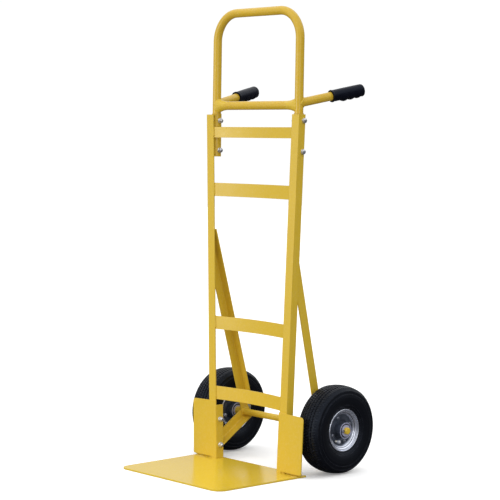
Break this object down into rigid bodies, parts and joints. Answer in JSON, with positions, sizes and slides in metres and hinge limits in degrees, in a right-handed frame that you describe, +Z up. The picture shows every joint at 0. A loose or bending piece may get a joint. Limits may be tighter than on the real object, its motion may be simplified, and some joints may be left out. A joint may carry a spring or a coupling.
{
  "type": "hand truck",
  "caption": "Upright hand truck with a high loop handle, rear side grips, bowed crossbars, a flat toe plate and air-filled wheels.",
  "frame": {"origin": "on the floor, at the middle of the overall box", "axes": "+X to the truck's right seen from the front, +Y backward to the wheels, +Z up"},
  "size_m": [0.564, 0.579, 1.3577],
  "materials": {
    "yellow_paint": "glossy powder coat with a faint orange peel",
    "tyre": "matt black tyre rubber",
    "tube_rubber": "matt butyl rubber",
    "rim_zinc": "bright zinc-plated pressed steel",
    "bearing_steel": "ground bearing steel",
    "bolt_zinc": "bright zinc plating",
    "valve_brass": "machined brass",
    "cap_plastic": "moulded black plastic",
    "grip_rubber": "matt ribbed rubber"
  },
  "bodies": {
    "frame": {"axle": "yellow_paint", "axle_washers": "bolt_zinc", "bottom_crossbar": "yellow_paint", "cross_tube": "yellow_paint", "left_axle_spacer": "yellow_paint", "left_axle_strut": "yellow_paint", "left_grip": "grip_rubber", "left_handle_leg": "yellow_paint", "left_handle_socket": "yellow_paint", "left_rail": "yellow_paint", "left_rear_brace": "yellow_paint", "left_toe_bracket": "yellow_paint", "loop_bolts": "bolt_zinc", "loop_handle": "yellow_paint", "loop_nuts": "bolt_zinc", "loop_washers": "bolt_zinc", "lower_crossbar": "yellow_paint", "right_axle_spacer": "yellow_paint", "right_axle_strut": "yellow_paint", "right_grip": "grip_rubber", "right_handle_leg": "yellow_paint", "right_handle_socket": "yellow_paint", "right_rail": "yellow_paint", "right_rear_brace": "yellow_paint", "right_toe_bracket": "yellow_paint", "split_pins": "bolt_zinc", "toe_bolts": "bolt_zinc", "toe_nuts": "bolt_zinc", "toe_plate": "yellow_paint", "toe_washers": "bolt_zinc", "top_crossbar": "yellow_paint", "upper_crossbar": "yellow_paint"},
    "left_wheel": {"left_tyre": "tyre", "left_inner_tube": "tube_rubber", "left_outer_rim": "rim_zinc", "left_inner_rim": "rim_zinc", "left_hub": "rim_zinc", "left_bearings": "bearing_steel", "left_rim_bolts": "bolt_zinc", "left_rim_nuts": "bolt_zinc", "left_valve_stem": "valve_brass", "left_valve_cap": "cap_plastic"},
    "right_wheel": {"right_tyre": "tyre", "right_inner_tube": "tube_rubber", "right_outer_rim": "rim_zinc", "right_inner_rim": "rim_zinc", "right_hub": "rim_zinc", "right_bearings": "bearing_steel", "right_rim_bolts": "bolt_zinc", "right_rim_nuts": "bolt_zinc", "right_valve_stem": "valve_brass", "right_valve_cap": "cap_plastic"}
  },
  "joints": [
    {"name": "left_wheel_spin", "type": "hinge", "parent": "frame", "child": "left_wheel", "pos_m": [-0.23153, 0.1595, 0.13], "axis": [1, 0, 0], "continuous": true},
    {"name": "right_wheel_spin", "type": "hinge", "parent": "frame", "child": "right_wheel", "pos_m": [0.23153, 0.1595, 0.13], "axis": [1, 0, 0], "continuous": true}
  ]
}
